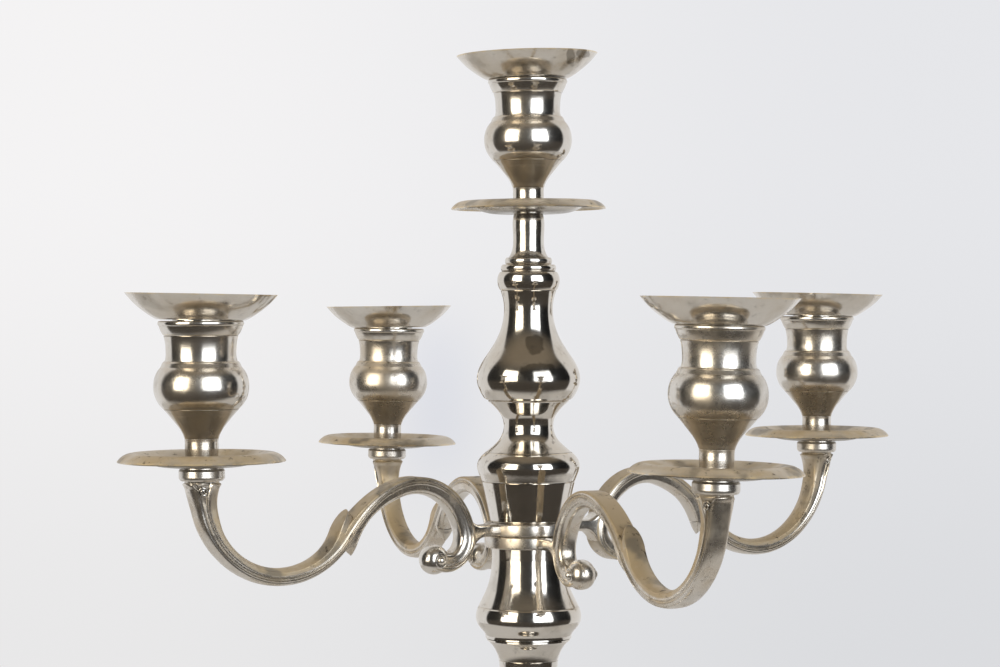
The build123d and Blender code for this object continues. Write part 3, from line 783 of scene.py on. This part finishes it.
def nickel(name, centre=(0, 0, 0), roughness=0.1, tarnish=0.3, dust=0.5, lines=0.5, seed=0.0, cast=False,
           haze=0.1, marks=(), cup_shade_radius=0.0):
    """Worn nickel plate. Centre is the axis that the turning lines run round; lines is their strength.

    On a casting the tan film lies where its patina layer says, and there are no turning lines; else it
    lies on whatever faces up. Haze is the share of light that worn plate scatters. Marks are darker
    ovals on the front, as (x, z, half width, half height) in millimetres; on the top dish they are
    painted dark reflections. The shade radius, also in millimetres, is how far a pan's middle round
    the cup is painted darker, as the cup's shadow on it.
    """
    material, tree = new_material(name)
    place = tree.vector("SUBTRACT", tree.node("TexCoord").outputs["Object"], tuple(centre))
    shifted = tree.vector("ADD", place, (seed, 2 * seed, 3 * seed))
    x, y, z = tree.split(place)
    radius = tree.math("SQRT", tree.math("ADD", tree.times(x, x), tree.times(y, y)))
    spots = tree.noise(shifted, SPOTS, 4.0, 0.7)
    # painted shade: 1 where the surface is occluded within 2.2 mm, in creases and grooves
    shaded_crevice = tree.step(tree.openness(2.2), 0.62, 0.28)
    film = tan_film(tree, tree.noise(shifted, CLOUDS, 5.0, 0.62), tarnish, dust, cast)

    stains_and_shade = tree.step(tree.noise(shifted, BLOTCHES, 3.0, 0.55), 0.53, 0.68)
    stains_and_shade = tree.times(tree.times(stains_and_shade, tree.math("ADD", film, 0.0 if cast else 0.18)), 0.72)
    if marks:
        # darker ovals on the front; those on the top dish are painted dark reflections
        stains_and_shade = tree.math("MAXIMUM", stains_and_shade, tree.times(dark_front_ovals(tree, place, shifted, marks), 0.66))
    # painted shade: a pan's middle within the given radius is darkened towards the stain colour, as the cup's
    # shadow on it
    if cup_shade_radius:
        painted_cup_shade = tree.times(tree.step(radius, cup_shade_radius * MM, 0.75 * cup_shade_radius * MM), 0.8)
        stains_and_shade = tree.math("MAXIMUM", stains_and_shade, painted_cup_shade)
    speckled = tree.times(tree.step(spots, 0.585, 0.7), tree.math("ADD", film, 0.25))
    colour = tree.mix(film, NICKEL, PATINA)
    # real stain blotches, with the painted cup shadow and painted dark reflections
    colour = tree.mix(stains_and_shade, colour, STAIN_AND_SHADE)
    colour = tree.mix(tree.times(speckled, 0.75), colour, GRIME_AND_SHADE)
    # painted shade: crevices darkened towards the dark grime colour
    colour = tree.mix(tree.times(shaded_crevice, 0.7), colour, GRIME_AND_SHADE)
    if not cast:
        worn = tree.times(tree.step(tree.openness(0.8, inside=True), 0.62, 0.3), tree.step(spots, 0.36, 0.6))
        colour = tree.mix(tree.times(worn, 0.55), colour, BRASS)

    rough = tree.scaled(film, 0.3, roughness)
    rough = tree.math("ADD", rough, tree.times(tree.step(spots, 0.45, 0.8), 0.1))
    rough = tree.math("ADD", rough, tree.times(shaded_crevice, 0.25), clamp=True)

    waves = tree.times(tree.noise(shifted, WAVES, 1.0, 0.4), CAST_WAVE_HEIGHT if cast else WAVE_HEIGHT)
    height = tree.math("ADD", waves, tree.times(spots, SPOT_HEIGHT))
    if not cast:
        turned = tree.node("CombineXYZ")
        tree.feed(turned.inputs[0], radius)
        tree.feed(turned.inputs[1], z)
        fine = tree.noise(turned.outputs[0], FINE_LINES, 2.0, 0.6)
        broad = tree.noise(turned.outputs[0], BROAD_LINES, 2.0, 0.5)
        height = tree.math("ADD", height, tree.times(fine, FINE_LINE_HEIGHT * lines))
        height = tree.math("ADD", height, tree.times(broad, BROAD_LINE_HEIGHT * lines))
    normal = tree.bump(height, 1.0)

    plate = tree.surface(colour, rough, normal, tree.scaled(tree.step(film, 0.35, 1.0), -0.5, 1.0))
    scattering = tree.surface(colour, tree.math("ADD", rough, 0.27, clamp=True), normal, 1.0)
    tree.finish(tree.mixed(haze, plate, scattering))
    return material


def steel():
    """Zinc-plated steel of the rod, studs, washer and nut."""
    material, tree = new_material("zinc_plated_steel")
    place = tree.node("TexCoord").outputs["Object"]
    grain = tree.noise(place, 600, 4.0, 0.6)
    patches = tree.step(tree.noise(place, 60, 4.0, 0.6), 0.35, 0.7)
    colour = tree.mix(patches, (0.5, 0.5, 0.48, 1), (0.36, 0.33, 0.28, 1))
    tree.finish(tree.surface(colour, tree.scaled(grain, 0.3, 0.2), tree.bump(grain, 0.03), 1.0))
    return material


def felt():
    """Dark green baize under the base."""
    material, tree = new_material("green_baize")
    place = tree.node("TexCoord").outputs["Object"]
    fibres = tree.noise(place, 1800, 4.0, 0.7)
    shade = tree.mix(tree.noise(place, 45, 3.0, 0.5), (0.016, 0.05, 0.03, 1), (0.03, 0.075, 0.045, 1))
    colour = tree.mix(tree.times(fibres, 0.5), shade, (0.09, 0.15, 0.1, 1))
    shader = tree.surface(colour, tree.scaled(fibres, 0.15, 0.82), tree.bump(fibres, 0.3))
    shader.inputs["Sheen Weight"].default_value = 0.4
    tree.finish(shader)
    return material


def paint(node, material):
    """Gives a CAD node its finish."""
    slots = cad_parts[node].data.materials
    slots.clear()
    slots.append(material)


# Roughness and film of each head's cup, from the brightest to the dullest.
CUP_LOOKS = {
    "top": (0.08, 0.4),
    "left_front": (0.11, 0.45),
    "right_back": (0.14, 0.5),
    "right_front": (0.16, 0.6),
    "left_back": (0.15, 0.5),
}

# Darker ovals on the front of the pear, and painted dark reflections on the front of the top dish: x and z of
# the middle, half sizes.
PEAR_MARKS = ((3.0, 636.0, 4.8, 5.2), (4.5, 622.5, 10.0, 4.6))
TOP_DISH_DARK_REFLECTIONS = ((20.5, 777.3, 2.4, 4.6), (26.5, 779.3, 4.0, 2.2))

COLUMN_LOOK = {"roughness": 0.05, "tarnish": 0.2, "lines": 0.35, "haze": 0.05}
STEM_LOOK = {"roughness": 0.09, "tarnish": 0.3, "dust": 0.3, "lines": 0.5, "seed": 0.3}
# on the pans the middle within 27 mm is painted darker, as the cup's shadow
PAN_LOOK = {"roughness": 0.2, "tarnish": 0.5, "dust": 0.6, "lines": 0.9, "cup_shade_radius": 27}
DISH_LOOK = {"roughness": 0.1, "tarnish": 0.35, "dust": 0.5, "lines": 0.7}
COLLAR_LOOK = {"roughness": 0.24, "tarnish": 0.5, "dust": 0.3, "lines": 0.6}
ARM_LOOK = {"roughness": 0.15, "tarnish": 0.55, "dust": 0.85, "haze": 0.12, "seed": 1.3, "cast": True}


def paint_head(name, seed):
    """Finishes of one candle head's turned pieces."""
    middle, low = box_middle(f"drip_pan_{name}")
    centre = Vector((middle.x, middle.y, 0)) * MM
    roughness, tarnish = CUP_LOOKS[name]
    # the top dish's ovals are painted dark reflections
    marks = TOP_DISH_DARK_REFLECTIONS if name == "top" else ()
    paint(f"candle_cup_{name}", nickel(f"cup_plate_{name}", centre, roughness, tarnish, 0.35, 0.8, seed))
    paint(f"drip_pan_{name}", nickel(f"pan_plate_{name}", centre, seed=seed + 0.05, **PAN_LOOK))
    paint(f"wax_dish_{name}", nickel(f"dish_plate_{name}", centre, seed=seed + 0.1, marks=marks, **DISH_LOOK))
    if name != "top":
        paint(f"collar_{name}", nickel(f"collar_plate_{name}", centre, seed=seed + 0.15, **COLLAR_LOOK))


def paint_all():
    """Finishes of every CAD node that stays."""
    column = nickel("column_plate", dust=0.25, **COLUMN_LOOK)
    for node in ("base", "lower_shaft", "knop", "upper_shaft", "lower_spool", "upper_spool"):
        paint(node, column)
    paint("pear_baluster", nickel("pear_plate", dust=0.3, marks=PEAR_MARKS, **COLUMN_LOOK))
    paint("top_stem", nickel("stem_plate", **STEM_LOOK))
    for k, name in enumerate(PLACES):
        paint_head(name, 0.17 * (k + 1))
    hardware = steel()
    for node in ["tie_rod", "base_washer", "base_nut"] + [f"stud_{name}" for name in PLACES]:
        paint(node, hardware)
    paint("felt_pad", felt())


# ---- studio ---------------------------------------------------------------------------------------
SOFTBOXES = (  # azimuth and elevation ranges in degrees, round from the camera's side; then colour
    ((-61, -27), (-6, 33), (6.4, 5.9, 5.0, 1)),
    ((12, 53), (-6, 33), (5.6, 5.9, 6.3, 1)),
)
ROOM_AHEAD = (0.04, 0.038, 0.035, 1)
ROOM_ASIDE = (0.02, 0.019, 0.018, 1)
ROOM_RIGHT = (0.006, 0.006, 0.006, 1)
ROOM_BELOW = (0.062, 0.053, 0.044, 1)
ROOM_ABOVE = (0.24, 0.2, 0.15, 1)
BACKDROP = (0.86, 0.85, 0.85, 1)
BACKDROP_ABOVE = (0.3, 0.27, 0.22, 1)
WALL_LEFT = (0.905, 0.895, 0.9, 1)  # the wall as the camera sees it
WALL_RIGHT = (0.79, 0.795, 0.82, 1)
WALL_LOWER = (0.895, 0.9, 0.9, 1)
WALL_SHADE = (0.9, 0.915, 0.96, 1)  # the column's soft shadow on the wall, to its left


def make_world():
    """A photographic studio: dark room in front, two softboxes, and a white backdrop behind."""
    world = bpy.data.worlds.new("studio")
    bpy.context.scene.world = world
    world.use_nodes = True
    tree = Tree(world.node_tree)
    x, y, z = tree.split(tree.node("TexCoord").outputs["Generated"])
    azimuth = tree.times(tree.math("ARCTAN2", x, tree.times(y, -1)), degrees(1))
    elevation = tree.times(tree.math("ARCSINE", z), degrees(1))
    sideways = tree.math("ABSOLUTE", azimuth)

    room = tree.mix(tree.step(sideways, 54, 60), ROOM_AHEAD, ROOM_ASIDE)
    room = tree.mix(tree.step(azimuth, 52, 60), room, ROOM_RIGHT)
    room = tree.mix(tree.step(elevation, 2, -12), room, ROOM_BELOW)
    room = tree.mix(tree.step(elevation, 30, 62), room, ROOM_ABOVE)
    backdrop = tree.mix(tree.step(elevation, 45, 75), BACKDROP, BACKDROP_ABOVE)
    seen = tree.mix(tree.step(sideways, 102, 108), room, backdrop)
    for (left, right), (low, high), colour in SOFTBOXES:
        across = tree.window(azimuth, left, right, 3)
        seen = tree.mix(tree.times(across, tree.window(elevation, low, high, 5)), seen, colour)

    wall = tree.mix(tree.step(x, -0.16, 0.16), WALL_LEFT, WALL_RIGHT)
    wall = tree.mix(tree.step(z, 0.06, -0.14), wall, WALL_LOWER, mode="MULTIPLY")
    beside = tree.times(tree.window(x, -0.036, -0.01, 0.013), tree.window(z, -0.062, -0.008, 0.022))
    wall = tree.mix(beside, wall, WALL_SHADE, mode="MULTIPLY")

    direct = tree.node("LightPath").outputs["Is Camera Ray"]
    background = tree.node("Background")
    tree.feed(background.inputs["Color"], tree.mix(direct, seen, wall))
    tree.finish(background, "World")


FLOOR_RADIUS = 1.3  # metres
FLOOR_FRONT = 0.62  # how far the floor reaches in front of the column
FLOOR_FADE = 0.3  # it fades out over this much of its rim


def make_floor():
    """A pale round floor that fades out at its rim."""
    count = 96
    angles = [TAU * k / count for k in range(count)]
    middle = FLOOR_RADIUS - FLOOR_FRONT
    mesh = bpy.data.meshes.new("floor")
    points = [(FLOOR_RADIUS * cos(a), middle + FLOOR_RADIUS * sin(a), 0) for a in angles]
    mesh.from_pydata([(0, middle, 0)] + points, [], [(0, k + 1, (k + 1) % count + 1) for k in range(count)])
    floor = bpy.data.objects.new("floor", mesh)
    bpy.context.scene.collection.objects.link(floor)
    material, tree = new_material("pale_floor")
    place = tree.node("TexCoord").outputs["Object"]
    away = tree.vector("SUBTRACT", place, (0, middle, 0))
    radius = tree.vector("LENGTH", away, result="Value")
    shade = tree.mix(tree.noise(place, 6), (0.8, 0.79, 0.785, 1), (0.84, 0.83, 0.825, 1))
    faded = tree.step(radius, FLOOR_RADIUS - FLOOR_FADE, FLOOR_RADIUS)
    tree.finish(tree.mixed(faded, tree.surface(shade, 0.7, None), tree.node("BsdfTransparent")))
    mesh.materials.append(material)


CAMERA_PLACE = Vector((-14.25, -1350, 655.4))
CAMERA_PITCH = -0.605  # degrees up
LENS = 97.2


def make_camera():
    """Level with the pear, a little left of the column, and looking very slightly down."""
    camera = bpy.data.cameras.new("camera")
    camera.lens = LENS
    camera.sensor_width = 36
    holder = bpy.data.objects.new("camera", camera)
    holder.location = CAMERA_PLACE * MM
    holder.rotation_euler = Euler((radians(90 + CAMERA_PITCH), 0, 0))
    bpy.context.scene.collection.objects.link(holder)
    bpy.context.scene.camera = holder


hub_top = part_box("upper_spool")[0].z / MM
upper_middle = hub_top - RING_PLAY - RING_HEIGHT / 2
lower_middle = upper_middle - RING_PLAY - RING_HEIGHT
arm_plate = nickel("arm_plate", **ARM_LOOK)
for node, body, middle, places in (
    ("upper_arms", "upper_arm_pair", upper_middle, ARM_PLACES[:2]),
    ("lower_arms", "lower_arm_pair", lower_middle, ARM_PLACES[2:]),
):
    make_arms(node, body, middle, places).data.materials.append(arm_plate)
paint_all()
make_world()
make_floor()
make_camera()
bpy.context.scene.view_settings.view_transform = "Standard"
